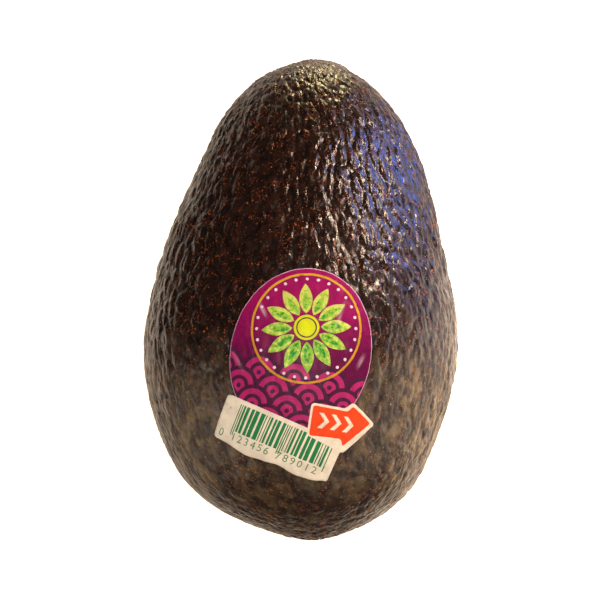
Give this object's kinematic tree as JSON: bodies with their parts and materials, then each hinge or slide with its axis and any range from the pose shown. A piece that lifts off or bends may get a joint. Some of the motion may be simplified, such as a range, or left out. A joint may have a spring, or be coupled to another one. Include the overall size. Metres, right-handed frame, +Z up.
{
  "type": "avocado",
  "caption": "Whole ripe pear-shaped avocado with pebbled dark skin, woody stem button and a small sticker, lying on its side on a flattened spot.",
  "frame": {"origin": "middle of the box's footprint, on the surface the fruit rests on", "axes": "+Y towards the stem end along the fruit's length, +Z up through the labelled side, +X to the right seen from above"},
  "size_m": [0.0748, 0.1142, 0.0721],
  "materials": {
    "skin": "waxy pebbled skin, satin",
    "stem_wood": "dry bark, matte",
    "label_film": "printed film, satin"
  },
  "bodies": {
    "root": {"fruit": "skin", "stem_button": "stem_wood", "label": "label_film"}
  },
  "joints": []
}
